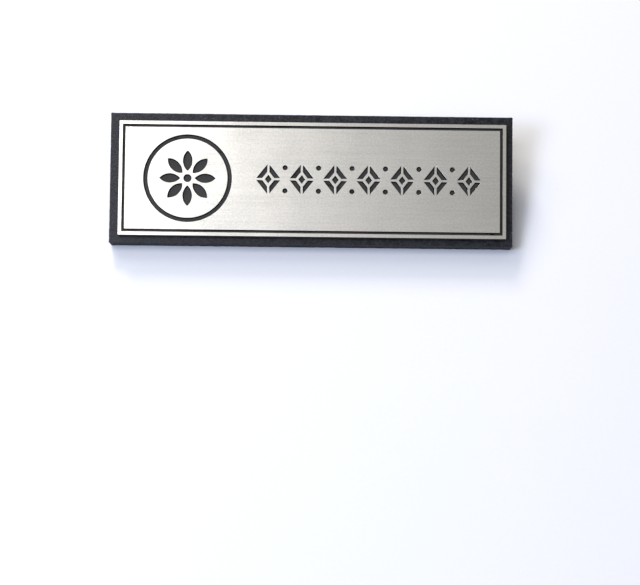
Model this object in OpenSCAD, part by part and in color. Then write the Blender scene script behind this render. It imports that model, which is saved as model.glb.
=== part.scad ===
// Name plate badge with a sprung pin on its back, lying face up on a surface.
// A black plate carries a black engraving sheet with a brushed silver skin.
// The skin is cut through to the black for the border line, the ring and the ornaments.
// The pin bar on the back props the plate's upper edge up, so the whole badge lies at a tilt.

/* [Plate] */
// Length of the black back plate
plate_w = 75; // [72:0.5:90]
// Height of the black back plate
plate_h = 24.5; // [24:0.5:32]
// Thickness of the back plate
plate_t = 3; // [2:0.5:4]
// Radius of the plate's corners, seen from the front
plate_corner_r = 0.4; // [0.2:0.1:2]

/* [Face sheet] */
// Plate's length minus the face sheet's, halved
border_x = 1.6; // [1:0.05:3]
// Plate's height minus the face sheet's, halved
border_y = 1.55; // [1:0.05:3]
// How far the face sheet is glued to the right of the plate's middle
face_right = 0.2; // [-0.5:0.05:0.5]
// How far the face sheet is glued below the plate's middle
face_down = 0.25; // [-0.5:0.05:0.5]
// Thickness of the sheet's black core
core_t = 1; // [0.6:0.1:1.5]
// Thickness of the sheet's silver skin
skin_t = 0.2; // [0.1:0.05:0.3]
// Radius of the face sheet's corners
face_corner_r = 0.1; // [0.1:0.1:1]
// Width of the silver rim outside the engraved border line
rim_w = 0.65; // [0.5:0.05:2]
// Width of the engraved border line
line_w = 0.5; // [0.2:0.05:0.8]

/* [Medallion] */
// Distance from the face sheet's left edge to the ring's centre
ring_inset = 12.75; // [11:0.05:16]
// Outer diameter of the engraved ring
ring_d = 16.4; // [12:0.2:17]
// Width of the engraved ring
ring_line = 0.8; // [0.4:0.1:1.5]
// Number of petals in the rosette
petal_count = 8; // [5:1:10]
// Distance from the rosette's centre to the inner tips of its petals
petal_start = 1.35; // [1:0.05:2]
// Length of a petal
petal_len = 3.85; // [2:0.05:4]
// Width of a petal
petal_w = 1.75; // [1:0.05:1.8]
// Diameter of the rosette's centre
eye_d = 1.5; // [0.8:0.1:1.8]

/* [Ornament band] */
// Number of lozenges in the band
lozenge_count = 7; // [3:1:7]
// Distance from one lozenge to the next
lozenge_pitch = 6.2; // [5.5:0.1:6.4]
// Width of a lozenge
lozenge_w = 4.7; // [3:0.1:5]
// Height of a lozenge
lozenge_h = 6; // [3:0.1:9]
// Thickness of a lozenge's sides
lozenge_line = 0.85; // [0.4:0.05:1]
// Width of the silver cross that quarters a lozenge
cross_w = 0.4; // [0.2:0.05:0.8]
// Distance from the band's right end to the face sheet's right edge
band_inset = 4.55; // [2:0.05:6]
// Diameter of the dots between the lozenges
dot_d = 0.95; // [0.4:0.05:1.2]

/* [Pin bar] */
// Length of the moulded bar
bar_w = 40; // [36:0.5:46]
// Height of the moulded bar
bar_h = 12; // [12:0.5:16]
// Thickness of the moulded bar
bar_t = 1.6; // [1.5:0.1:2]
// How far the bar sits to the right of the plate's middle, seen from the back
bar_right = 2.6; // [-8:0.1:8]
// How far the bar sits above the plate's middle
bar_up = 2.5; // [0:0.1:4]
// How far the bar is glued out of square, seen from the back
bar_skew = 0.5; // [-2:0.1:2]
// Height of the catch and of the coil's housing above the plate's back
roof_h = 4.8; // [4.8:0.1:5.4]

/* [Wire] */
// Diameter of the steel wire
wire_d = 0.62; // [0.5:0.02:0.64]
// Radius of the coil, to the middle of the wire
coil_r = 1.5; // [1.3:0.05:1.5]
// Distance from one turn of the coil to the next
coil_pitch = 0.66; // [0.66:0.01:0.7]
// How far the needle's point reaches into the catch
needle_reach = 6.15; // [4:0.05:6.15]
// Length of the needle's sharpened end
point_len = 6.5; // [2:0.1:8]

/* [Hidden] */
$fn = 64;

// Reach of a cut beyond the surface that it leaves through
over = 1;

// The face sheet and its silver skin
face_w = plate_w - 2 * border_x;
face_h = plate_h - 2 * border_y;
face_z = plate_t + core_t;
panel_inset = rim_w + line_w;
ring_x = ring_inset - face_w / 2;
petal_bow_r = (pow(petal_len / 2, 2) + pow(petal_w / 2, 2)) / petal_w;
band_x = face_w / 2 - band_inset - lozenge_w / 2 - (lozenge_count - 1) * lozenge_pitch;
// Distance of the rows of dots from the band's middle, and the size of a lozenge's heart in its frame
dot_y = 0.36 * lozenge_h;
heart_share = 0.5;

// The pin bar's own frame: u to the right and v up as seen from the back, w away from the plate
bar_top = bar_h / 2;
bar_corner_r = 0.5;
bar_chamfer = 0.4;
// The bar's upper half lies this much lower than its lower half
step_depth = 0.1;
step_v = -0.1;
upper_t = bar_t - step_depth;
// The rail along the bar's upper edge, and the groove under the needle
rail_t = bar_t + 0.2;
rail_v = bar_top - 0.7;
groove_v = rail_v - 0.75;
groove_w = 1;
// Rounding of the moulding's outer corners
round_big = 0.9;
round_mid = 0.6;
round_small = 0.35;
// The housing and the catch start inside the bar
root_w = 0.8;

// The coil's housing near the bar's right end, with a window over the coil
housing_inset = 2.2;
housing_len = 6.9;
housing_right = bar_w / 2 - housing_inset;
housing_left = housing_right - housing_len;
housing_v = bar_top - 4.15;
coil_u = housing_left + 3;
window_w = 4;
window_v = bar_top - 3.05;

// The wire: a straight top strand, the coil, and a leg that is buried in the bar
wire_r = wire_d / 2;
wire_gap = 0.08;
needle_v = bar_top - 1.25;
needle_w = 3.9;
coil_w = needle_w - coil_r;
coil_turns = 2.5;
leg_v = needle_v - coil_turns * coil_pitch;
leg_w = coil_w - coil_r;
cavity_r = coil_r + wire_r + 2 * wire_gap;
cavity_low_v = leg_v - wire_r - 2 * wire_gap;
cavity_top_v = needle_v + wire_r + wire_gap;
// The needle turns at a ball just outside the housing
needle_root_u = housing_left - 0.05;
socket_r = wire_r + 0.02;
point_r = 0.04;
// The needle swells from a slightly slimmer neck at the ball to its full thickness
neck_r = wire_r - 0.02;
neck_len = 0.9;

// The catch near the bar's left end: a roof with a lip, closed at its left end
catch_inset = 1.5;
catch_len = 7.5;
catch_left = catch_inset - bar_w / 2;
catch_right = catch_left + catch_len;
catch_v = bar_top - 4.5;
catch_lip = 0.5;
catch_end_wall = 0.8;
catch_back_wall = 0.6;
catch_roof = 0.5;
slot_left = catch_left + 1.2;
slot_top = 3.4;
needle_len = needle_root_u - catch_right + needle_reach;

// The recess in the middle of the bar, where the end of the wire's leg shows
recess_left = -2.45;
recess_right = 3.3;
recess_v = leg_v - wire_r - wire_gap;
recess_w = leg_w - wire_r - wire_gap / 2;
leg_end_u = -0.5;
// A low shelf beside the leg, at the recess's right end
shelf_left = 1.83;
shelf_v = leg_v + wire_r + wire_gap;
shelf_t = 0.3;

// Fineness of the wire's mesh
wire_sides = 12;
turn_steps = 20;

// How the badge lies: on the plate's lower back edge and on the rounded roofs of catch and housing.
// The tilt is that of the line from the edge that just touches a roof's rounding from below.
function rest_tilt(y, depth, r) = atan2(depth, y) + asin(r / norm([y, depth]));
function roof_y(u, v) = plate_h / 2 + bar_up + u * sin(bar_skew) + v * cos(bar_skew);
catch_tilt = rest_tilt(roof_y(catch_left + round_big, catch_v + round_big), roof_h - round_big, round_big);
housing_tilt = rest_tilt(roof_y(housing_left, housing_v + round_small), roof_h - round_small, round_small);
tilt = max(catch_tilt, housing_tilt);
lift = plate_h / 2 * sin(tilt);
shift_y = plate_t / 2 * sin(tilt);

// Puts the badge, drawn flat with the plate's back at height 0, down as it lies
module at_rest() {
    translate([0, shift_y, lift])
        rotate([tilt, 0, 0])
            children();
}

// Puts what is drawn in the pin bar's frame on the plate's back
module on_back() {
    translate([-bar_right, bar_up, 0])
        rotate([0, 180, 0])
            rotate([0, 0, bar_skew])
                children();
}

// The corner of a square that a quarter circle leaves, with the corner at the origin
module corner_waste(r) {
    difference() {
        translate([-over, -over])
            square(r + over);
        translate([r, r])
            circle(r);
    }
}

// A rectangle from one corner to another, each corner with its own radius
module soft_rect(low, high, r_low_left, r_low_right, r_high_right, r_high_left) {
    difference() {
        translate(low)
            square(high - low);
        if (r_low_left > 0)
            translate(low)
                corner_waste(r_low_left);
        if (r_low_right > 0)
            translate([high[0], low[1]])
                rotate(90)
                    corner_waste(r_low_right);
        if (r_high_right > 0)
            translate(high)
                rotate(180)
                    corner_waste(r_high_right);
        if (r_high_left > 0)
            translate([low[0], high[1]])
                rotate(270)
                    corner_waste(r_high_left);
    }
}

// A rectangle about the origin with four like corners
module round_rect(w, h, r) {
    soft_rect([-w / 2, -h / 2], [w / 2, h / 2], r, r, r, r);
}

// Pushes a u-v outline along w, a v-w outline along u, and a u-w outline along v
module along_w(low, high) {
    translate([0, 0, low])
        linear_extrude(high - low)
            children();
}

module along_u(low, high) {
    translate([low, 0, 0])
        rotate([90, 0, 90])
            linear_extrude(high - low)
                children();
}

module along_v(low, high) {
    translate([0, high, 0])
        rotate([90, 0, 0])
            linear_extrude(high - low)
                children();
}

// A box between two corners
module block(low, high) {
    translate(low)
        cube(high - low);
}

// One pointed petal with its inner tip at the origin, lying along x
module petal() {
    intersection() {
        translate([petal_len / 2, petal_w / 2 - petal_bow_r])
            circle(petal_bow_r);
        translate([petal_len / 2, petal_bow_r - petal_w / 2])
            circle(petal_bow_r);
    }
}

module rosette() {
    circle(d = eye_d);
    for (i = [0 : petal_count - 1])
        rotate(90 + i * 360 / petal_count)
            translate([petal_start, 0])
                petal();
}

module rhombus(w, h) {
    polygon([[w / 2, 0], [0, h / 2], [-w / 2, 0], [0, -h / 2]]);
}

// A lozenge with thick sides and a small heart, quartered by a silver cross
module lozenge() {
    // Distance from the lozenge's middle to a side
    side_r = lozenge_w * lozenge_h / 2 / norm([lozenge_w, lozenge_h]);
    shrink = 1 - lozenge_line / side_r;
    difference() {
        rhombus(lozenge_w, lozenge_h);
        rhombus(lozenge_w * shrink, lozenge_h * shrink);
        square([lozenge_w + over, cross_w], center = true);
        square([cross_w, lozenge_h + over], center = true);
    }
    rhombus(lozenge_w * shrink * heart_share, lozenge_h * shrink * heart_share);
}

module ornament_band() {
    for (i = [0 : lozenge_count - 1])
        translate([band_x + i * lozenge_pitch, 0])
            lozenge();
    for (i = [1 : lozenge_count - 1], side = [-1, 1])
        translate([band_x + (i - 0.5) * lozenge_pitch, side * dot_y])
            circle(d = dot_d);
}

// Everything on the silver skin is this thick and lies on the black core
module skin() {
    at_rest()
        translate([face_right, -face_down, face_z])
            linear_extrude(skin_t)
                children();
}

// Black acrylic plate that carries the rest
module back_plate() {
    color("#17181b")
        at_rest()
            linear_extrude(plate_t)
                round_rect(plate_w, plate_h, plate_corner_r);
}

// Black core of the engraving sheet, bonded to the plate's front
module engraving_core() {
    color("#24251f")
        at_rest()
            translate([face_right, -face_down, plate_t])
                linear_extrude(core_t)
                    round_rect(face_w, face_h, face_corner_r);
}

// Narrow silver rim outside the border line
module silver_rim() {
    color("#d9d6d1")
        skin()
            difference() {
                round_rect(face_w, face_h, face_corner_r);
                square([face_w - 2 * rim_w, face_h - 2 * rim_w], center = true);
            }
}

// Silver panel with the ring and the ornament band cut out
module silver_panel() {
    color("#cfccc6")
        skin()
            difference() {
                square([face_w - 2 * panel_inset, face_h - 2 * panel_inset], center = true);
                translate([ring_x, 0])
                    circle(d = ring_d);
                ornament_band();
            }
}

// Silver disc inside the ring, with the rosette cut out
module silver_medallion() {
    color("#e6e4e0")
        skin()
            translate([ring_x, 0])
                difference() {
                    circle(d = ring_d - 2 * ring_line);
                    rosette();
                }
}

// Flat of the moulding, chamfered round its outer face, with its upper half a step lower
module bar_flat() {
    half = bar_w / 2;
    difference() {
        intersection() {
            along_w(0, bar_t)
                round_rect(bar_w, bar_h, bar_corner_r);
            along_u(-half, half)
                polygon([[-bar_top, 0], [bar_top, 0], [bar_top, bar_t - bar_chamfer],
                         [bar_top - bar_chamfer, bar_t], [bar_chamfer - bar_top, bar_t],
                         [-bar_top, bar_t - bar_chamfer]]);
            along_v(-bar_top, bar_top)
                polygon([[-half, 0], [half, 0], [half, bar_t - bar_chamfer],
                         [half - bar_chamfer, bar_t], [bar_chamfer - half, bar_t],
                         [-half, bar_t - bar_chamfer]]);
        }
        block([-half - over, step_v, upper_t], [half + over, bar_top + over, bar_t + over]);
    }
}

// Outside of a roofed box on the bar, rounded on its lower long edge, its ends and its corners
module roofed_box(left, right, low_v, r_low, r_left, r_right) {
    intersection() {
        along_u(left, right)
            soft_rect([low_v, root_w], [bar_top, roof_h], 0, 0, round_small, r_low);
        along_v(low_v, bar_top)
            soft_rect([left, root_w], [right, roof_h], 0, 0, r_right, r_left);
        along_w(root_w, roof_h)
            soft_rect([left, low_v], [right, bar_top], r_left, r_right, r_right / 2, r_left / 2);
    }
}

// Hollow of the catch: open at its right end, with a slot under the lip along its lower side
module catch_hollow() {
    along_u(catch_left + catch_end_wall, catch_right + over)
        soft_rect([catch_v + catch_lip, upper_t], [bar_top - catch_back_wall, roof_h - catch_roof],
                  0, 0, round_small, round_small);
    block([slot_left, catch_v - over, upper_t], [catch_right + over, catch_v + 2 * catch_lip, slot_top]);
}

// Room for the coil, its window, the notch for the top strand and the bore for the leg
module coil_hollow() {
    translate([coil_u, cavity_top_v, coil_w])
        rotate([90, 0, 0])
            cylinder(r = cavity_r, h = cavity_top_v - cavity_low_v);
    along_w(coil_w, roof_h + over)
        soft_rect([coil_u - window_w / 2, window_v], [coil_u + window_w / 2, cavity_top_v],
                  round_small, round_small, round_small, 0);
    block([housing_left - over, needle_v - wire_r - wire_gap, needle_w - wire_r - wire_gap],
          [coil_u, cavity_top_v, roof_h + over]);
    translate([recess_right - over, leg_v, leg_w])
        rotate([0, 90, 0])
            cylinder(r = wire_r + wire_gap, h = coil_u - recess_right + over);
}

// White moulding with a rail, a groove, a recess, the catch and the coil's housing
module pin_bar() {
    color("#f7f6f2")
        at_rest()
            on_back() {
                difference() {
                    union() {
                        bar_flat();
                        block([catch_right - over, rail_v, 0], [housing_left + over, bar_top, rail_t]);
                        roofed_box(catch_left, catch_right, catch_v, round_big, round_mid, round_small);
                        roofed_box(housing_left, housing_right, housing_v,
                                   round_small, round_small, round_small);
                    }
                    block([catch_right, groove_v, groove_w], [housing_left, rail_v, rail_t + over]);
                    along_w(recess_w, rail_t + over)
                        soft_rect([recess_left, recess_v], [recess_right, rail_v],
                                  round_small, round_small, 0, 0);
                    catch_hollow();
                    coil_hollow();
                }
                block([shelf_left, shelf_v, recess_w / 2], [recess_right + over, rail_v, recess_w + shelf_t]);
            }
}

// Points along the wire's middle, from the needle's root round the coil to the end of the leg
function helix(turn) = [
    coil_u + coil_r * sin(360 * turn),
    needle_v - coil_pitch * turn,
    coil_w + coil_r * cos(360 * turn)
];
wire_path = concat(
    [[needle_root_u, needle_v, needle_w]],
    [for (i = [0 : coil_turns * turn_steps]) helix(i / turn_steps)],
    [[leg_end_u, leg_v, leg_w]]
);

function unit(a) = a / norm(a);
function heading(path, i) = unit(path[min(i + 1, len(path) - 1)] - path[max(i - 1, 0)]);

// Corners of the wire's section at one point of its path
function section_at(path, i) =
    let (t = heading(path, i), a = unit(cross(t, [0, 1, 0])), b = cross(t, a))
    [for (k = [0 : wire_sides - 1])
        path[i] + wire_r * (cos(360 * k / wire_sides) * a + sin(360 * k / wire_sides) * b)];

// A round wire of one thickness along a path
module wire(path) {
    last = len(path) - 1;
    corners = [for (i = [0 : last]) each section_at(path, i)];
    walls = [for (i = [0 : last - 1], k = [0 : wire_sides - 1])
        let (a = i * wire_sides + k, b = i * wire_sides + (k + 1) % wire_sides)
        each [[a, b, b + wire_sides], [a, b + wire_sides, a + wire_sides]]];
    start_cap = [[for (k = [wire_sides - 1 : -1 : 0]) k]];
    end_cap = [[for (k = [0 : wire_sides - 1]) last * wire_sides + k]];
    polyhedron(corners, concat(walls, start_cap, end_cap));
}

// Steel wire of the spring: top strand with a hollow end for the needle's ball, coil, buried leg
module spring_coil() {
    color("#8d857a")
        at_rest()
            on_back()
                difference() {
                    wire(wire_path);
                    translate(wire_path[0])
                        sphere(socket_r);
                }
}

// Needle with a ball and a neck at its root and a sharpened point, turned as one piece
module needle() {
    shank_len = needle_len - point_len;
    color("#a8a49c")
        at_rest()
            on_back()
                translate(wire_path[0])
                    rotate([0, -90, 0])
                        rotate_extrude() {
                            polygon([[0, 0], [neck_r, 0], [wire_r, neck_len], [wire_r, shank_len],
                                     [point_r, needle_len], [0, needle_len]]);
                            intersection() {
                                circle(wire_r);
                                translate([0, -wire_r])
                                    square([wire_r, 2 * wire_r]);
                            }
                        }
}

back_plate();
engraving_core();
silver_rim();
silver_panel();
silver_medallion();
pin_bar();
spring_coil();
needle();
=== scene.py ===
import math
import bmesh
import bpy
from mathutils import Matrix, Vector


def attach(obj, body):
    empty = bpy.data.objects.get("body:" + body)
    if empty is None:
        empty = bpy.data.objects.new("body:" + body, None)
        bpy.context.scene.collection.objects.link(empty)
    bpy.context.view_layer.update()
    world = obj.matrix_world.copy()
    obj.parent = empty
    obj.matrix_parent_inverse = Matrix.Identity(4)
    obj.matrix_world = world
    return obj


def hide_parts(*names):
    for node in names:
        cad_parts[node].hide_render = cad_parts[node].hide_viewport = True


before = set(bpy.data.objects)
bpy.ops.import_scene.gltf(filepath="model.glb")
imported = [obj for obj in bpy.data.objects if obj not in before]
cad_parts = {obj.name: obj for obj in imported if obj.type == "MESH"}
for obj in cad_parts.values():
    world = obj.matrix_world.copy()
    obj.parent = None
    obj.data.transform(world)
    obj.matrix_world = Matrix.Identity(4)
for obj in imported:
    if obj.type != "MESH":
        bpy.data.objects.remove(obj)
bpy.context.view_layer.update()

# Back plate
# A 75 by 24.5 mm plate cut from 3 mm black acrylic sheet. Its faces keep the sheet's satin skin,
# with scratches from wear on the back. The cut sides are rougher and chipped along their edges.
PLATE_HALF = Vector((37.5, 12.25))
PLATE_THICK = 3.0
PLATE_CORNER = 0.25
PLATE_EDGE = 0.08
SIDE_CUTS = (299, 95)
CHIP_DEPTH = 0.15
RIPPLE_DEPTH = 0.09

# Everything is modelled flat, in millimetres, with the plate's back at height 0, and is then put
# down the way the badge lies: tipped up by its pin bar, on the plate's lower back edge.
MM = 0.001
TILT = math.radians(15.88187858511704)
LIE = (Matrix.Translation((0, PLATE_THICK / 2 * math.sin(TILT) * MM,
                           PLATE_HALF.y * math.sin(TILT) * MM)) @ Matrix.Rotation(TILT, 4, "X"))
SMOOTH = 50


def pick(piece):
    bpy.ops.object.select_all(action="DESELECT")
    bpy.context.view_layer.objects.active = piece
    piece.select_set(True)


def edit(piece):
    pick(piece)
    bpy.ops.object.mode_set(mode="EDIT")


def leave_edit():
    bpy.ops.object.mode_set(mode="OBJECT")


def choose(piece, kind, wanted):
    """Selects, in edit mode, the vertices, edges or faces that wanted() says, and nothing else."""
    bpy.ops.mesh.select_mode(type=kind)
    bpy.ops.mesh.select_all(action="DESELECT")
    mesh = bmesh.from_edit_mesh(piece.data)
    parts = {"VERT": mesh.verts, "EDGE": mesh.edges, "FACE": mesh.faces}[kind]
    for part in [p for p in parts if wanted(p)]:
        part.select_set(True)
    bmesh.update_edit_mesh(piece.data)


def box_between(name, low, high):
    """A box between two corners, as the start of a piece."""
    low, high = Vector(low), Vector(high)
    bpy.ops.object.select_all(action="DESELECT")
    bpy.ops.mesh.primitive_cube_add(size=1, location=(low + high) / 2, scale=high - low)
    piece = bpy.context.object
    piece.name = piece.data.name = name
    bpy.ops.object.transform_apply(location=True, rotation=True, scale=True)
    return piece


def put_down(piece, place=LIE):
    """Takes a piece that was modelled in millimetres to its place on the lying badge."""
    pick(piece)
    piece.matrix_world = place @ Matrix.Scale(MM, 4)
    bpy.ops.object.transform_apply(location=True, rotation=True, scale=True)


def smooth(piece, degrees=SMOOTH):
    """Smooth shading, but for the edges that are sharper than those degrees."""
    pick(piece)
    bpy.ops.object.shade_smooth_by_angle(angle=math.radians(degrees), keep_sharp_edges=False)


def even_normals(piece):
    """Lets a piece's large flat faces stay flat in the light, beside their small rounded edges."""
    weigh = piece.modifiers.new("even_normals", "WEIGHTED_NORMAL")
    weigh.keep_sharp = True
    weigh.weight = 100


def apply_all(piece):
    pick(piece)
    for modifier in list(piece.modifiers):
        bpy.ops.object.modifier_apply(modifier=modifier.name)


def middle(edge):
    return (edge.verts[0].co + edge.verts[1].co) / 2


def along(edge, axis):
    """True if an edge runs along that axis."""
    run = (edge.verts[1].co - edge.verts[0].co).normalized()
    return abs(run[axis]) > 0.999


plate = box_between("plate_black", (-PLATE_HALF.x, -PLATE_HALF.y, 0), (*PLATE_HALF, PLATE_THICK))
edit(plate)
choose(plate, "EDGE", lambda e: along(e, 2))
bpy.ops.mesh.bevel(offset=PLATE_CORNER, segments=6, affect="EDGES")
choose(plate, "EDGE", lambda e: not along(e, 2) and (e.verts[0].co.z == e.verts[1].co.z))
bpy.ops.mesh.bevel(offset=PLATE_EDGE, segments=3, affect="EDGES")
# The long edges are cut about every quarter of a millimetre, so that the sides can be uneven
for axis, cuts in enumerate(SIDE_CUTS):
    choose(plate, "EDGE", lambda e: along(e, axis) and e.calc_length() > PLATE_HALF[axis])
    bpy.ops.mesh.subdivide(number_cuts=cuts)
leave_edit()


def side_vertices(axis, sign):
    """Vertices of one cut side with its softened edges, short of its rounded corners."""
    across = 1 - axis
    short_of_corner = PLATE_HALF[across] - PLATE_CORNER - 0.1
    start_of_side = PLATE_HALF[axis] - PLATE_EDGE - 0.01
    return [v.index for v in plate.data.vertices
            if v.co[axis] * sign > start_of_side and abs(v.co[across]) < short_of_corner]


# The saw leaves a slight ripple, and the edges have chipped here and there
ripple = bpy.data.textures.new("saw_ripple", "CLOUDS")
ripple.noise_scale = 0.55
ripple.noise_depth = 3
chips = bpy.data.textures.new("edge_chips", "VORONOI")
chips.noise_scale = 2.3
chips.use_color_ramp = True
chips.color_ramp.elements[0].position = 0.06
chips.color_ramp.elements[0].color = (0, 0, 0, 1)
chips.color_ramp.elements[1].position = 0.17
chips.color_ramp.elements[1].color = (1, 1, 1, 1)
for axis in (0, 1):
    for sign in (-1, 1):
        name = "side_%s%s" % ("xy"[axis], "-+"[sign > 0])
        plate.vertex_groups.new(name=name).add(side_vertices(axis, sign), 1.0, "REPLACE")
        for texture, depth in ((ripple, RIPPLE_DEPTH), (chips, CHIP_DEPTH)):
            press = plate.modifiers.new(name, "DISPLACE")
            press.texture = texture
            press.texture_coords = "LOCAL"
            press.direction = "XY"[axis]
            press.vertex_group = name
            press.mid_level = 1.0
            press.strength = sign * depth
apply_all(plate)


def new_group(name, inputs, outputs):
    """An empty shader group with named sockets, and its input and output sockets."""
    group = bpy.data.node_groups.new(name, "ShaderNodeTree")
    for socket, kind, value in inputs:
        made = group.interface.new_socket(socket, in_out="INPUT", socket_type="NodeSocket" + kind)
        if value is not None:
            made.default_value = value
    for socket in outputs:
        group.interface.new_socket(socket, in_out="OUTPUT", socket_type="NodeSocketFloat")
    given = group.nodes.new("NodeGroupInput").outputs
    return group, given, group.nodes.new("NodeGroupOutput").inputs


def feed(tree, socket, value):
    """Links another node's output to a socket, or sets the socket's own value."""
    if isinstance(value, bpy.types.NodeSocket):
        tree.links.new(value, socket)
    else:
        socket.default_value = value


def add_node(tree, kind, inputs, **settings):
    """A node with its settings made and its inputs fed, by name or by number."""
    node = tree.nodes.new("ShaderNode" + kind)
    node.location = (180 * (len(tree.nodes) % 12), -220 * (len(tree.nodes) // 12))
    for name, value in settings.items():
        setattr(node, name, value)
    for name, value in inputs.items():
        feed(tree, node.inputs[name], value)
    return node


def calc(tree, operation, *values, clamp=False):
    node = add_node(tree, "Math", dict(enumerate(values)), operation=operation, use_clamp=clamp)
    return node.outputs[0]


def calc_vector(tree, operation, *values):
    node = add_node(tree, "VectorMath", dict(enumerate(values)), operation=operation)
    return node.outputs["Value" if operation in ("DOT_PRODUCT", "DISTANCE", "LENGTH") else "Vector"]


def ramp(tree, value, low, high, to_low=0.0, to_high=1.0, kind="SMOOTHSTEP"):
    """The value's range from low to high, taken to another range and held at its ends."""
    node = add_node(tree, "MapRange", {"Value": value, "From Min": low, "From Max": high,
                                       "To Min": to_low, "To Max": to_high},
                    interpolation_type=kind)
    return node.outputs["Result"]


def use_group(tree, group, inputs):
    node = add_node(tree, "Group", {}, node_tree=group)
    for name, value in inputs.items():
        feed(tree, node.inputs[name], value)
    return node.outputs


def mix_colours(tree, share, first, second):
    node = add_node(tree, "Mix", {0: share, 6: first, 7: second}, data_type="RGBA")
    return node.outputs[2]


def new_material(name, **sockets):
    """A material with one Principled shader, whose plain values are set on its own sockets."""
    material = bpy.data.materials.new(name)
    material.use_nodes = True
    tree = material.node_tree
    shader = tree.nodes["Principled BSDF"]
    for socket, value in sockets.items():
        shader.inputs[socket.replace("_", " ")].default_value = value
    return material, tree, shader


def place_in_mm(tree, place=LIE):
    """Where a point is in the flat badge, or in another frame on it, in millimetres."""
    back = place.inverted()
    coords = add_node(tree, "TexCoord", {})
    mapping = add_node(tree, "Mapping", {"Vector": coords.outputs["Object"],
                                         "Location": back.to_translation() / MM,
                                         "Rotation": back.to_euler(),
                                         "Scale": (1 / MM, 1 / MM, 1 / MM)}, vector_type="POINT")
    return mapping.outputs["Vector"]


def bump(tree, shader, height, depth, strength=1.0):
    """Relief of a few thousandths of a millimetre."""
    node = add_node(tree, "Bump", {"Strength": strength, "Distance": depth * MM, "Height": height})
    tree.links.new(node.outputs["Normal"], shader.inputs["Normal"])


# Fine grain with a wider mottle
speckle, given, made = new_group("fine_speckle", [("Vector", "Vector", None),
                                                  ("Grain", "Float", 0.2), ("Mottle", "Float", 3.0),
                                                  ("Contrast", "Float", 0.5)], ["Tone", "Height"])
fine = add_node(speckle, "TexNoise", {"Vector": given["Vector"],
                                      "Scale": calc(speckle, "DIVIDE", 1.0, given["Grain"]),
                                      "Detail": 3.0, "Roughness": 0.7}).outputs[0]
wide = add_node(speckle, "TexNoise", {"Vector": given["Vector"],
                                      "Scale": calc(speckle, "DIVIDE", 1.0, given["Mottle"]),
                                      "Detail": 3.0}).outputs[0]
both = calc(speckle, "ADD", calc(speckle, "MULTIPLY", fine, 1.4),
            calc(speckle, "MULTIPLY", wide, 0.6))
spread = calc(speckle, "MULTIPLY", calc(speckle, "SUBTRACT", both, 1.0), given["Contrast"])
feed(speckle, made["Tone"],
     calc(speckle, "ADD", calc(speckle, "MULTIPLY", spread, 2.0), 0.5, clamp=True))
feed(speckle, made["Height"], fine)

# One scratch from a start to an end, broken where its gaps are
scratch, given, made = new_group("scratch", [("Vector", "Vector", None), ("Start", "Vector", None),
                                             ("End", "Vector", None), ("Width", "Float", 0.1),
                                             ("Gaps", "Float", 0.0)], ["Mask"])
run = calc_vector(scratch, "SUBTRACT", given["End"], given["Start"])
from_start = calc_vector(scratch, "SUBTRACT", given["Vector"], given["Start"])
share = calc(scratch, "DIVIDE", calc_vector(scratch, "DOT_PRODUCT", from_start, run),
             calc_vector(scratch, "DOT_PRODUCT", run, run), clamp=True)
stretch = add_node(scratch, "VectorMath", {0: run, "Scale": share}, operation="SCALE").outputs[0]
nearest = calc_vector(scratch, "ADD", given["Start"], stretch)
away = calc_vector(scratch, "DISTANCE", given["Vector"], nearest)
swell = calc(scratch, "ADD", calc(scratch, "SINE", calc(scratch, "MULTIPLY", share, math.pi)), 0.35)
reach = calc(scratch, "MULTIPLY", swell, given["Width"])
line = calc(scratch, "SUBTRACT", 1.0, calc(scratch, "DIVIDE", away, reach), clamp=True)
grit = add_node(scratch, "TexNoise", {"Vector": nearest, "Scale": 1.1, "Detail": 3.0}).outputs[0]
whole = ramp(scratch, calc(scratch, "SUBTRACT", grit, given["Gaps"]), -0.04, 0.04)
feed(scratch, made["Mask"], calc(scratch, "MULTIPLY", ramp(scratch, line, 0.0, 0.6), whole))

# Strip along the outline of a rectangle that is centred on the origin
box_edge, given, made = new_group("box_edge", [("Vector", "Vector", None),
                                               ("Half Size", "Vector", None),
                                               ("Width", "Float", 0.3)], ["Mask"])
beyond = calc_vector(box_edge, "SUBTRACT", calc_vector(box_edge, "ABSOLUTE", given["Vector"]),
                     given["Half Size"])
parts = add_node(box_edge, "SeparateXYZ", {0: beyond}).outputs
depth = calc(box_edge, "DIVIDE", calc(box_edge, "MAXIMUM", parts["X"], parts["Y"]), given["Width"])
feed(box_edge, made["Mask"], ramp(box_edge, depth, -1.0, 0.0))

# Loose specks of dust
dust, given, made = new_group("dust", [("Vector", "Vector", None), ("Spacing", "Float", 2.0),
                                       ("Speck", "Float", 0.1), ("Share", "Float", 0.5)], ["Mask"])
cells = add_node(dust, "TexVoronoi", {"Vector": given["Vector"],
                                      "Scale": calc(dust, "DIVIDE", 1.0, given["Spacing"])}).outputs
chance = add_node(dust, "SeparateColor", {0: cells["Color"]}).outputs
size = calc(dust, "DIVIDE", calc(dust, "MULTIPLY", given["Speck"], chance[1]), given["Spacing"])
dot = calc(dust, "SUBTRACT", 1.0, calc(dust, "DIVIDE", cells["Distance"], size), clamp=True)
feed(dust, made["Mask"], calc(dust, "MULTIPLY", ramp(dust, dot, 0.0, 0.4),
                              calc(dust, "LESS_THAN", chance[0], given["Share"])))

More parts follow.
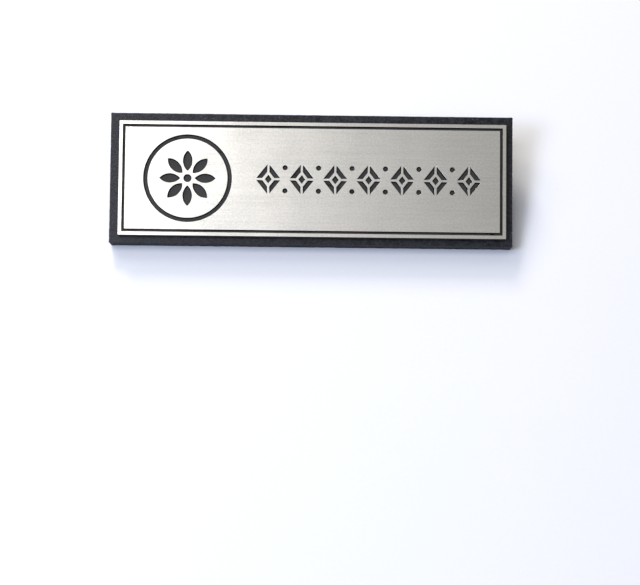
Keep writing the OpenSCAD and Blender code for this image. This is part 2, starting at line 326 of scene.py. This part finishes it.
# Satin skin of the sheet, with its scratches: start, end, width, gaps and how far each shows
BACK_SCRATCHES = [
    ((6.6, -3.5), (6.0, -4.8), 0.09, 0.0, 0.7), ((5.5, -5.5), (4.9, -6.8), 0.09, 0.0, 0.8),
    ((4.8, -7.3), (4.3, -8.5), 0.09, 0.0, 0.8), ((6.5, -3.6), (3.9, -9.5), 0.05, 0.3, 0.4),
    ((12.9, -7.9), (11.1, -11.9), 0.05, 0.36, 0.35), ((11.75, -9.6), (11.2, -11.5), 0.06, 0.0, 0.2),
    ((7.5, -7.9), (6.1, -11.0), 0.05, 0.4, 0.35), ((7.4, -8.4), (6.4, -11.9), 0.04, 0.4, 0.25),
    ((-16.2, -7.7), (-17.3, -11.5), 0.07, 0.2, 0.35),
    ((-16.5, -8.8), (-17.9, -11.7), 0.16, 0.4, 0.1),
    ((-16.9, -9.4), (-18.4, -11.6), 0.05, 0.4, 0.2), ((-22.9, -8.6), (-23.1, -9.4), 0.08, 0.0, 0.4),
    ((14.3, -8.7), (14.2, -10.9), 0.1, 0.3, 0.2), ((14.2, -11.0), (12.3, -10.6), 0.14, 0.3, 0.2),
    ((13.7, -8.9), (13.5, -10.4), 0.07, 0.3, 0.15), ((-0.3, 11.4), (-1.5, 9.1), 0.05, 0.35, 0.25),
    ((18.6, -5.6), (18.2, -5.8), 0.1, 0.0, 0.5), ((-0.6, -5.9), (-1.5, -6.4), 0.07, 0.38, 0.35),
    ((-22.2, -3.8), (-22.9, -6.7), 0.05, 0.5, 0.2),
]
acrylic, tree, shader = new_material("black_acrylic_satin", Specular_IOR_Level=0.28, IOR=1.49)
spot = place_in_mm(tree)
skin = use_group(tree, speckle, {"Vector": spot, "Grain": 0.26, "Mottle": 1.2, "Contrast": 2.0})
worn = use_group(tree, box_edge, {"Vector": spot, "Half Size": (*PLATE_HALF, 0),
                                  "Width": 0.4})["Mask"]
specks = use_group(tree, dust, {"Vector": spot, "Spacing": 1.7, "Speck": 0.09,
                                "Share": 0.35})["Mask"]
fine_specks = use_group(tree, dust, {"Vector": spot, "Spacing": 0.42, "Speck": 0.13,
                                     "Share": 0.55})["Mask"]
marks = calc(tree, "MAXIMUM", calc(tree, "MULTIPLY", specks, 0.45),
             calc(tree, "MULTIPLY", fine_specks, 0.12))
for start, end, width, gaps, shows in BACK_SCRATCHES:
    mask = use_group(tree, scratch, {"Vector": spot, "Start": (*start, 0), "End": (*end, 0),
                                     "Width": width, "Gaps": gaps})["Mask"]
    marks = calc(tree, "MAXIMUM", marks, calc(tree, "MULTIPLY", mask, shows))
deep = mix_colours(tree, skin["Tone"], (0.0005, 0.0006, 0.001, 1), (0.0245, 0.0262, 0.033, 1))
dull = mix_colours(tree, calc(tree, "MULTIPLY", worn, 0.25), deep, (0.05, 0.05, 0.055, 1))
feed(tree, shader.inputs["Base Color"], mix_colours(tree, marks, dull, (0.5, 0.5, 0.52, 1)))
matt = ramp(tree, skin["Tone"], 0.0, 1.0, 0.32, 0.5)
feed(tree, shader.inputs["Roughness"], calc(tree, "ADD", matt, calc(tree, "MULTIPLY", marks, 0.2)))
bump(tree, shader, calc(tree, "SUBTRACT", skin["Height"], marks), 0.012, 0.8)

# The cut sides, with the saw's ridges
sawn, tree, shader = new_material("black_acrylic_sawn", Specular_IOR_Level=0.1, IOR=1.49)
spot = place_in_mm(tree)
ridges = calc_vector(tree, "MULTIPLY", spot, (9.0, 9.0, 0.8))
saw = add_node(tree, "TexNoise", {"Vector": ridges, "Scale": 1.0, "Detail": 4.0}).outputs[0]
rough = use_group(tree, speckle, {"Vector": spot, "Grain": 0.25, "Mottle": 2.0, "Contrast": 0.8})
deep = mix_colours(tree, saw, (0.002, 0.002, 0.004, 1), (0.0165, 0.0172, 0.025, 1))
bruised = ramp(tree, rough["Tone"], 0.7, 1.0, 0.0, 0.5)
feed(tree, shader.inputs["Base Color"], mix_colours(tree, bruised, deep, (0.05, 0.05, 0.056, 1)))
feed(tree, shader.inputs["Roughness"], ramp(tree, saw, 0.3, 0.7, 0.45, 0.7))
bump(tree, shader, calc(tree, "ADD", saw, rough["Height"]), 0.05, 0.8)

plate.data.materials.append(acrylic)
plate.data.materials.append(sawn)
edit(plate)
choose(plate, "FACE", lambda f: (abs(f.normal.z) < 0.5
                                 and min(v.co.z for v in f.verts) < PLATE_THICK / 2
                                 and max(v.co.z for v in f.verts) > PLATE_THICK / 2))
plate.active_material_index = 1
bpy.ops.object.material_slot_assign()
leave_edit()
smooth(plate)
even_normals(plate)
apply_all(plate)
put_down(plate)
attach(plate, "badge")
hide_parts("back_plate")

# Core of the engraving sheet
# A millimetre of matt black plastic bonded to the plate's front. It shows as a thin black line
# under the silver, and wherever the cutter went through the silver skin and a little deeper.
SHEET_LOW = Vector((-35.7, -10.95))
SHEET_HIGH = Vector((36.1, 10.45))
SHEET_CORNER = 0.1
SHEET_BORDER = 0.3
CUT_FLOOR = 3.84
core = box_between("sheet_core", (*SHEET_LOW, PLATE_THICK), (*SHEET_HIGH, CUT_FLOOR))
edit(core)
choose(core, "EDGE", lambda e: along(e, 2))
bpy.ops.mesh.bevel(offset=SHEET_CORNER, segments=3, affect="EDGES")
choose(core, "FACE", lambda f: f.normal.z > 0.9)
bpy.ops.mesh.inset(thickness=SHEET_BORDER, depth=0)
leave_edit()

# Long shallow lines that a cutter or a brush leaves, along x
drawn, given, made = new_group("drawn_lines", [("Vector", "Vector", None),
                                               ("Line Length", "Float", 8.0),
                                               ("Line Width", "Float", 0.1),
                                               ("Contrast", "Float", 0.5)], ["Tone", "Height"])
per_length = calc(drawn, "DIVIDE", 1.0, given["Line Length"])
per_width = calc(drawn, "DIVIDE", 1.0, given["Line Width"])
squeeze = add_node(drawn, "CombineXYZ", {0: per_length, 1: per_width, 2: per_width}).outputs[0]
drawn_out = calc_vector(drawn, "MULTIPLY", given["Vector"], squeeze)
first = add_node(drawn, "TexNoise", {"Vector": drawn_out, "Scale": 1.0, "Detail": 3.0,
                                     "Roughness": 0.75}).outputs[0]
second = add_node(drawn, "TexNoise", {"Vector": drawn_out, "Scale": 0.23, "Detail": 2.0}).outputs[0]
both = calc(drawn, "ADD", calc(drawn, "MULTIPLY", first, 1.3), calc(drawn, "MULTIPLY", second, 0.7))
spread = calc(drawn, "MULTIPLY", calc(drawn, "SUBTRACT", both, 1.0), given["Contrast"])
feed(drawn, made["Tone"], calc(drawn, "ADD", calc(drawn, "MULTIPLY", spread, 2.0), 0.5, clamp=True))
feed(drawn, made["Height"], first)

cut_core, tree, shader = new_material("cut_core_black", Specular_IOR_Level=0.3)
spot = place_in_mm(tree)
tracks = use_group(tree, drawn, {"Vector": spot, "Line Length": 2.5, "Line Width": 0.12,
                                 "Contrast": 0.6})
crumbs = use_group(tree, speckle, {"Vector": spot, "Grain": 0.22, "Mottle": 4.0, "Contrast": 0.7})
tone = calc(tree, "MULTIPLY", calc(tree, "ADD", tracks["Tone"], crumbs["Tone"]), 0.5)
feed(tree, shader.inputs["Base Color"], mix_colours(tree, tone, (0.021, 0.0195, 0.0165, 1),
                                                    (0.058, 0.0555, 0.049, 1)))
feed(tree, shader.inputs["Roughness"], ramp(tree, tone, 0.0, 1.0, 0.5, 0.7))
bump(tree, shader, tracks["Height"], 0.02, 0.5)
core.data.materials.append(cut_core)
smooth(core, 30)
put_down(core)
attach(core, "badge")
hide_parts("engraving_core")

# Silver skin of the sheet: rim, panel and medallion
# Brushed silver film on the black core, cut through for the border line, the ring and the
# ornaments. Only its top is silver: the cut walls are the core's black, painted darker still as
# shade in the cuts, and slope a little, as the tapered cutter leaves them, and the silver's own
# edge is turned down into a fine bright bevel.
HAIR = 0.001
SKIN_LOW = 4.0
SKIN_TOP = 4.2
SKIN_BEVEL = 0.025
FILM = 0.05
CUT_SLOPE = 0.12
CUTS_INSIDE = 0.2
MERGE = 0.0005


def flat_copy(node, name):
    """A merged copy of a CAD node, laid flat and in millimetres."""
    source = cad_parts[node]
    piece = bpy.data.objects.new(name, source.data.copy())
    piece.data.name = name
    bpy.context.scene.collection.objects.link(piece)
    piece.data.materials.clear()
    piece.data.transform(Matrix.Scale(1 / MM, 4) @ LIE.inverted())
    edit(piece)
    bpy.ops.mesh.select_all(action="SELECT")
    bpy.ops.mesh.remove_doubles(threshold=MERGE)
    bpy.ops.mesh.customdata_custom_splitnormals_clear()
    leave_edit()
    return piece


def dissolve_flats():
    """Takes out, in edit mode, the edges that lie within flat faces."""
    bpy.ops.mesh.select_all(action="SELECT")
    bpy.ops.mesh.dissolve_limited(angle_limit=math.radians(0.5))


# The walls of the cuts: the core's black, painted darker than the floor of the cuts as painted
# shade
shaded_cut_wall, tree, shader = new_material("cut_wall_painted_shade", Specular_IOR_Level=0.0)
spot = place_in_mm(tree)
crumbs = use_group(tree, speckle, {"Vector": spot, "Grain": 0.15, "Mottle": 2.0, "Contrast": 0.8})
feed(tree, shader.inputs["Base Color"], mix_colours(tree, crumbs["Tone"], (0.002, 0.002, 0.002, 1),
                                                    (0.012, 0.012, 0.013, 1)))
feed(tree, shader.inputs["Roughness"], ramp(tree, crumbs["Tone"], 0.0, 1.0, 0.75, 0.9))

# The brushed film
brushed, tree, shader = new_material("brushed_silver", Metallic=1.0)
spot = place_in_mm(tree)
lines = use_group(tree, drawn, {"Vector": spot, "Line Length": 7.0, "Line Width": 0.1,
                                "Contrast": 1.1})
cloudy = use_group(tree, speckle, {"Vector": spot, "Grain": 0.35, "Mottle": 6.0, "Contrast": 1.3})
lint = use_group(tree, dust, {"Vector": spot, "Spacing": 2.6, "Speck": 0.09, "Share": 0.3})["Mask"]
bright = calc(tree, "ADD", calc(tree, "MULTIPLY", lines["Tone"], 0.4),
              calc(tree, "MULTIPLY", cloudy["Tone"], 0.6))
metal = mix_colours(tree, bright, (0.488, 0.471, 0.431, 1), (0.666, 0.642, 0.593, 1))
feed(tree, shader.inputs["Base Color"], mix_colours(tree, calc(tree, "MULTIPLY", lint, 0.35), metal,
                                                    (0.8, 0.8, 0.78, 1)))
feed(tree, shader.inputs["Roughness"], ramp(tree, bright, 0.2, 0.8, 0.36, 0.31))
bump(tree, shader, lines["Height"], 0.003, 0.4)


def within_outline(point):
    """True for a point of the skin that isn't on the sheet's own sides."""
    return (SHEET_LOW.x + CUTS_INSIDE < point.x < SHEET_HIGH.x - CUTS_INSIDE
            and SHEET_LOW.y + CUTS_INSIDE < point.y < SHEET_HIGH.y - CUTS_INSIDE)


def is_sharp(edge, degrees):
    return len(edge.link_faces) == 2 and edge.calc_face_angle(0) > math.radians(degrees)


for node, name in (("silver_rim", "skin_rim"), ("silver_panel", "skin_panel"),
                   ("silver_medallion", "skin_medallion")):
    skin_piece = flat_copy(node, name)
    edit(skin_piece)
    dissolve_flats()
    # The underside goes down to the floor of the cuts, and the walls inside the outline slope
    choose(skin_piece, "VERT", lambda v: v.co.z < SKIN_LOW + HAIR)
    bpy.ops.transform.resize(value=(1, 1, 0), center_override=(0, 0, CUT_FLOOR))
    choose(skin_piece, "VERT", lambda v: v.co.z < CUT_FLOOR + HAIR and within_outline(v.co))
    bpy.ops.transform.shrink_fatten(value=CUT_SLOPE, use_even_offset=True)
    bpy.ops.transform.resize(value=(1, 1, 0), center_override=(0, 0, CUT_FLOOR))
    choose(skin_piece, "EDGE", lambda e: middle(e).z > SKIN_TOP - HAIR and is_sharp(e, 60))
    bpy.ops.mesh.bevel(offset=SKIN_BEVEL, segments=2, affect="EDGES", clamp_overlap=False)
    # The cut walls and the underside take the black with painted shade, and the top takes the
    # silver film
    skin_piece.data.materials.append(shaded_cut_wall)
    skin_piece.data.materials.append(brushed)
    choose(skin_piece, "FACE", lambda f: f.calc_center_median().z > SKIN_TOP - FILM)
    skin_piece.active_material_index = 1
    bpy.ops.object.material_slot_assign()
    leave_edit()
    smooth(skin_piece)
    even_normals(skin_piece)
    apply_all(skin_piece)
    put_down(skin_piece)
    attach(skin_piece, "badge")
    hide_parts(node)

# Pin bar
# One injection moulding in white plastic, glued to the plate's back: the flat with its rail, groove
# and recess, the roofed catch on one end, and the coil's housing on the other.
BAR_HALF = Vector((20, 6))
BAR_THICK = 1.6
BAR_BEVEL = 0.07
BAR_MERGE = 0.012
BAR_RIGHT = 2.6
BAR_UP = 2.5
BAR_SKEW = math.radians(0.5)
COIL_ROOM_LOW = Vector((10.91, 1.9))
COIL_ROOM_HIGH = Vector((15.98, 5.2, 4.75))
# From the bar's own frame, u right and v up as seen from the back and w away from the plate
ON_BACK = (LIE @ Matrix.Translation((-BAR_RIGHT * MM, BAR_UP * MM, 0))
           @ Matrix.Rotation(math.pi, 4, "Y") @ Matrix.Rotation(BAR_SKEW, 4, "Z"))


def in_coil_room(point):
    """True for a point in the housing's hollow, where the coil lies."""
    return (COIL_ROOM_LOW.x < point.x < COIL_ROOM_HIGH.x
            and COIL_ROOM_LOW.y < point.y < COIL_ROOM_HIGH.y and point.z < COIL_ROOM_HIGH.z)


bar = flat_copy("pin_bar", "pin_bar_white")
bar.data.transform(Matrix.Scale(1 / MM, 4) @ ON_BACK.inverted() @ LIE @ Matrix.Scale(MM, 4))
edit(bar)
dissolve_flats()
# Every edge is softened but those inside the coil's room. What that pushes out past the left end
# goes back in.
choose(bar, "EDGE", lambda e: is_sharp(e, 38) and not in_coil_room(middle(e)))
bpy.ops.mesh.bevel(offset=BAR_BEVEL, segments=2, affect="EDGES", clamp_overlap=False,
                   miter_outer="ARC")
choose(bar, "VERT", lambda v: v.co.x < -BAR_HALF.x - HAIR)
bpy.ops.transform.resize(value=(0, 1, 1), center_override=(0.02 - BAR_HALF.x, 0, 0))
bpy.ops.mesh.select_all(action="SELECT")
bpy.ops.mesh.remove_doubles(threshold=BAR_MERGE)
leave_edit()

# Faint darker lines drawn on the flat: start, end, width, gaps and how far each shows
FAINT_FLAT_LINES = [
    ((-17.0, -2.1), (-10.4, -2.1), 0.16, 0.3, 0.35), ((12.4, -2.1), (18.4, -2.1), 0.16, 0.3, 0.35),
    ((-18.0, -0.15), (-8.5, -0.15), 0.14, 0.35, 0.22), ((-19.4, 2.6), (-19.4, -0.3), 0.1, 0.3, 0.2),
    ((19.4, 4.0), (19.4, -5.0), 0.1, 0.3, 0.2),
]
GATE_MARK = (-11.7, 1.1, 1.5)
white, tree, shader = new_material("white_moulded_plastic", Specular_IOR_Level=0.5, IOR=1.5,
                                   Subsurface_Weight=0.12, Subsurface_Scale=0.0012)
spot = place_in_mm(tree, ON_BACK)
flow = use_group(tree, speckle, {"Vector": spot, "Grain": 0.45, "Mottle": 6.0, "Contrast": 0.6})
rim = use_group(tree, box_edge, {"Vector": spot, "Half Size": (*BAR_HALF, 0), "Width": 0.5})["Mask"]
grime = use_group(tree, dust, {"Vector": spot, "Spacing": 2.2, "Speck": 0.1, "Share": 0.25})["Mask"]
marks = calc(tree, "MULTIPLY", grime, 0.3)
for start, end, width, gaps, shows in FAINT_FLAT_LINES:
    mask = use_group(tree, scratch, {"Vector": spot, "Start": (*start, BAR_THICK),
                                     "End": (*end, BAR_THICK), "Width": width,
                                     "Gaps": gaps})["Mask"]
    marks = calc(tree, "MAXIMUM", marks, calc(tree, "MULTIPLY", mask, shows))
from_gate = calc_vector(tree, "DISTANCE", spot, GATE_MARK)
marks = calc(tree, "MAXIMUM", marks, ramp(tree, from_gate, 0.1, 0.28, 0.35, 0.0))
body = mix_colours(tree, flow["Tone"], (0.84, 0.825, 0.79, 1), (0.9, 0.89, 0.865, 1))
edged = mix_colours(tree, calc(tree, "MULTIPLY", rim, 0.3), body, (0.8, 0.77, 0.71, 1))
feed(tree, shader.inputs["Base Color"], mix_colours(tree, marks, edged, (0.55, 0.52, 0.48, 1)))
feed(tree, shader.inputs["Roughness"], ramp(tree, flow["Tone"], 0.0, 1.0, 0.34, 0.46))
bump(tree, shader, calc(tree, "SUBTRACT", flow["Height"], marks), 0.02, 0.35)
bar.data.materials.append(white)
smooth(bar)
even_normals(bar)
apply_all(bar)
put_down(bar, ON_BACK)
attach(bar, "badge")
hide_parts("pin_bar")

# Spring coil
# Two and a half turns of 0.6 mm hard-drawn steel wire in the housing. Its straight top strand ends
# in a cup for the needle's ball, and its leg runs back through the moulding into the recess.
WIRE_R = 0.31
COIL_U, COIL_W = 13.9, 2.4
COIL_R = 1.5
PITCH = 0.66
TURNS = 2.5
COIL_STEPS = 90
LEG_END = (-0.5, 3.1, 0.9)
# The root of the needle in the top strand's cup, how far the strand's end stands off it, and the
# steps in which the cup is hollowed: inwards, and down
ROOT = (10.85, 4.75, 3.9)
CUP_OFF = 0.13
CUP_STEPS = ((0.1, 0.09), (0.08, 0.05), (0.07, 0.03))


def wire_point(turn):
    angle = 2 * math.pi * turn
    return (COIL_U + COIL_R * math.sin(angle), ROOT[1] - PITCH * turn,
            COIL_W + COIL_R * math.cos(angle))


path = [Vector(ROOT) + Vector((CUP_OFF, 0, 0)), (12.0, *ROOT[1:]), (13.2, *ROOT[1:])]
path += [wire_point(TURNS * i / COIL_STEPS) for i in range(COIL_STEPS + 1)]
path += [(u, *LEG_END[1:]) for u in (13.2, 9.0, 4.0, LEG_END[0])]
bpy.ops.object.select_all(action="DESELECT")
bpy.ops.curve.primitive_bezier_curve_add()
coil = bpy.context.object
coil.name = "coil_steel"
coil.data.splines.clear()
spline = coil.data.splines.new("POLY")
spline.points.add(len(path) - 1)
for point, place in zip(spline.points, path):
    point.co = (*place, 1)
coil.data.bevel_depth = WIRE_R
coil.data.bevel_resolution = 5
coil.data.use_fill_caps = True
bpy.ops.object.convert(target="MESH")
coil = bpy.context.object
coil.data.name = "coil_steel"
edit(coil)
bpy.ops.mesh.select_all(action="SELECT")
bpy.ops.mesh.remove_doubles(threshold=MERGE)
bpy.ops.mesh.normals_make_consistent(inside=False)
# The two end caps: the strand's is hollowed into the cup, and the leg's only gets a border
choose(coil, "FACE", lambda f: len(f.verts) > 4 and f.calc_center_median().x > 5)
for inset, sink in CUP_STEPS:
    bpy.ops.mesh.inset(thickness=inset, depth=-sink)
choose(coil, "FACE", lambda f: len(f.verts) > 4 and f.calc_center_median().x < 5)
bpy.ops.mesh.inset(thickness=0.05, depth=0)
leave_edit()

steel, tree, shader = new_material("hard_drawn_steel", Metallic=1.0)
spot = place_in_mm(tree, ON_BACK)
drawing = use_group(tree, drawn, {"Vector": spot, "Line Length": 6.0, "Line Width": 0.08,
                                  "Contrast": 0.8})
stain = use_group(tree, speckle, {"Vector": spot, "Grain": 1.3, "Mottle": 5.0, "Contrast": 0.8})
clean = mix_colours(tree, drawing["Tone"], (0.36, 0.33, 0.285, 1), (0.5, 0.465, 0.41, 1))
brown = calc(tree, "MULTIPLY", ramp(tree, stain["Tone"], 0.3, 0.8), 0.6)
feed(tree, shader.inputs["Base Color"], mix_colours(tree, brown, clean, (0.25, 0.195, 0.14, 1)))
feed(tree, shader.inputs["Roughness"], ramp(tree, stain["Tone"], 0.0, 1.0, 0.16, 0.27))
bump(tree, shader, drawing["Height"], 0.002, 0.3)
coil.data.materials.append(steel)
smooth(coil)
put_down(coil, ON_BACK)
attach(coil, "badge")
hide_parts("spring_coil")

# Needle
# The free end of the same wire, ground to a long point. A ball at its root sits in the strand's
# cup, and the neck beside the ball is a little slimmer. It rests behind the catch's lip.
NEEDLE_SIDES = 32

# Rings along the wire: radius, and distance from the ball's middle. Of its 28 mm the last 6.5 are
# the ground point.
BALL = [(WIRE_R * math.sin(math.radians(a)), -WIRE_R * math.cos(math.radians(a)))
        for a in range(12, 65, 8)]
NECK = [(0.29, 0.0), (0.2935, 0.3)]
SHANK = [(WIRE_R, height) for height in (0.9, 1.1, 8.0, 15.0, 21.2)]
POINT = [(0.308, 21.5), (0.27, 22.5), (0.215, 24.0), (0.155, 25.5), (0.095, 27.0), (0.055, 27.8),
         (0.04, 28.0)]

bpy.ops.object.select_all(action="DESELECT")
radius, height = BALL[0]
bpy.ops.mesh.primitive_circle_add(vertices=NEEDLE_SIDES, radius=radius, fill_type="NGON",
                                  location=(0, 0, height))
needle = bpy.context.object
needle.name = needle.data.name = "needle_steel"
bpy.ops.object.transform_apply(location=True, rotation=True, scale=True)
edit(needle)
bpy.ops.mesh.select_all(action="SELECT")
for next_radius, next_height in BALL[1:] + NECK + SHANK + POINT:
    bpy.ops.mesh.extrude_region_move(
        TRANSFORM_OT_translate={"value": (0, 0, next_height - height)})
    grow = next_radius / radius
    bpy.ops.transform.resize(value=(grow, grow, 1), center_override=(0, 0, next_height))
    radius, height = next_radius, next_height
bpy.ops.mesh.select_all(action="SELECT")
bpy.ops.mesh.normals_make_consistent(inside=False)
leave_edit()
needle.data.materials.append(steel)
smooth(needle)
FROM_ROOT = ON_BACK @ Matrix.Translation(Vector(ROOT) * MM) @ Matrix.Rotation(-math.pi / 2, 4, "Y")
put_down(needle, FROM_ROOT)
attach(needle, "pin")
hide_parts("needle")

# Table and light
# A white sheet of paper in a bright room, with soft lamps overhead and to the left, before and
# behind the badge. From below the paper is see-through, and the lamp there lights the badge's back.
bpy.ops.object.select_all(action="DESELECT")
bpy.ops.mesh.primitive_plane_add(size=3, location=(0, 0, 0))
paper_sheet = bpy.context.object
paper_sheet.name = "paper_floor"
paper, tree, shader = new_material("white_paper", Specular_IOR_Level=0.2)
spot = place_in_mm(tree, Matrix.Identity(4))
fibre = use_group(tree, speckle, {"Vector": spot, "Grain": 0.6, "Mottle": 30.0, "Contrast": 0.4})
feed(tree, shader.inputs["Base Color"], mix_colours(tree, fibre["Tone"], (0.88, 0.885, 0.9, 1),
                                                    (0.92, 0.92, 0.925, 1)))
feed(tree, shader.inputs["Roughness"], ramp(tree, fibre["Tone"], 0.0, 1.0, 0.7, 0.8))
behind = add_node(tree, "NewGeometry", {}).outputs["Backfacing"]
lamplight = add_node(tree, "LightPath", {}).outputs["Is Shadow Ray"]
clear = add_node(tree, "BsdfTransparent", {})
one_way = add_node(tree, "MixShader", {0: calc(tree, "MAXIMUM", behind, lamplight),
                                       1: shader.outputs[0], 2: clear.outputs[0]})
feed(tree, tree.nodes["Material Output"].inputs["Surface"], one_way.outputs[0])
paper_sheet.data.materials.append(paper)


def soft_lamp(name, where, size, watts, colour):
    lamp = bpy.data.lights.new(name, "AREA")
    lamp.shape = "RECTANGLE"
    lamp.size, lamp.size_y = size
    lamp.energy = watts
    lamp.color = colour
    holder = bpy.data.objects.new(name, lamp)
    bpy.context.scene.collection.objects.link(holder)
    holder.location = where
    holder.rotation_mode = "QUATERNION"
    holder.rotation_quaternion = (-Vector(where)).to_track_quat("-Z", "Y")


soft_lamp("lamp_overhead_left", (-0.235, -0.015, 0.66), (0.24, 0.34), 1.09, (0.985, 0.99, 1.02))
soft_lamp("lamp_left", (-0.34, -0.207, 0.46), (0.2, 0.2), 1.5, (0.84, 0.96, 1.3))
soft_lamp("lamp_upper_left", (-0.324, 0.36, 0.45), (0.25, 0.25), 0.92, (1.07, 1.0, 0.9))
soft_lamp("lamp_behind", (-0.18, 0.576, 0.36), (0.17, 0.17), 2.33, (1.07, 1.0, 0.9))
soft_lamp("lamp_below", (0.3, 0.36, -0.42), (0.4, 0.4), 2.4, (1.0, 0.99, 0.97))
world = bpy.data.worlds.new("bright_room")
world.use_nodes = True
tree = world.node_tree
towards = add_node(tree, "TexCoord", {}).outputs["Generated"]
steep = add_node(tree, "SeparateXYZ", {0: towards}).outputs["Z"]
feed(tree, tree.nodes["Background"].inputs["Color"],
     mix_colours(tree, ramp(tree, steep, 0.86, 0.97), (0.23, 0.24, 0.27, 1), (0.53, 0.53, 0.53, 1)))
tree.nodes["Background"].inputs["Strength"].default_value = 1.0
bpy.context.scene.world = world
bpy.context.scene.view_settings.view_transform = "Standard"

# Camera
# Hand-held a quarter of a metre away, below the badge's lower edge and turned a little, so that the
# face is nearly square in the picture and the plate's lower side just shows.
PICTURE_PIXELS = 640
FOCAL_PIXELS = 1314
SENSOR_WIDTH = 36
CAMERA_AT = Vector((0, -0.120019, 0.223629))
CAMERA_AIM = Vector((0.002, -0.041084, -0.004087))
ROLL = math.radians(0.451)
camera = bpy.data.cameras.new("camera")
camera.sensor_fit = "HORIZONTAL"
camera.sensor_width = SENSOR_WIDTH
camera.lens = SENSOR_WIDTH * FOCAL_PIXELS / PICTURE_PIXELS
camera.shift_y = 0.175
camera.dof.use_dof = False
viewer = bpy.data.objects.new("camera", camera)
bpy.context.scene.collection.objects.link(viewer)
ahead = (CAMERA_AIM - CAMERA_AT).normalized()
right = ahead.cross(Vector((0, 1, 0))).normalized()
upright = Matrix((right, right.cross(ahead), -ahead)).transposed()
viewer.rotation_mode = "QUATERNION"
viewer.location = CAMERA_AT
viewer.rotation_quaternion = (upright @ Matrix.Rotation(ROLL, 3, "Z")).to_quaternion()
bpy.context.scene.camera = viewer
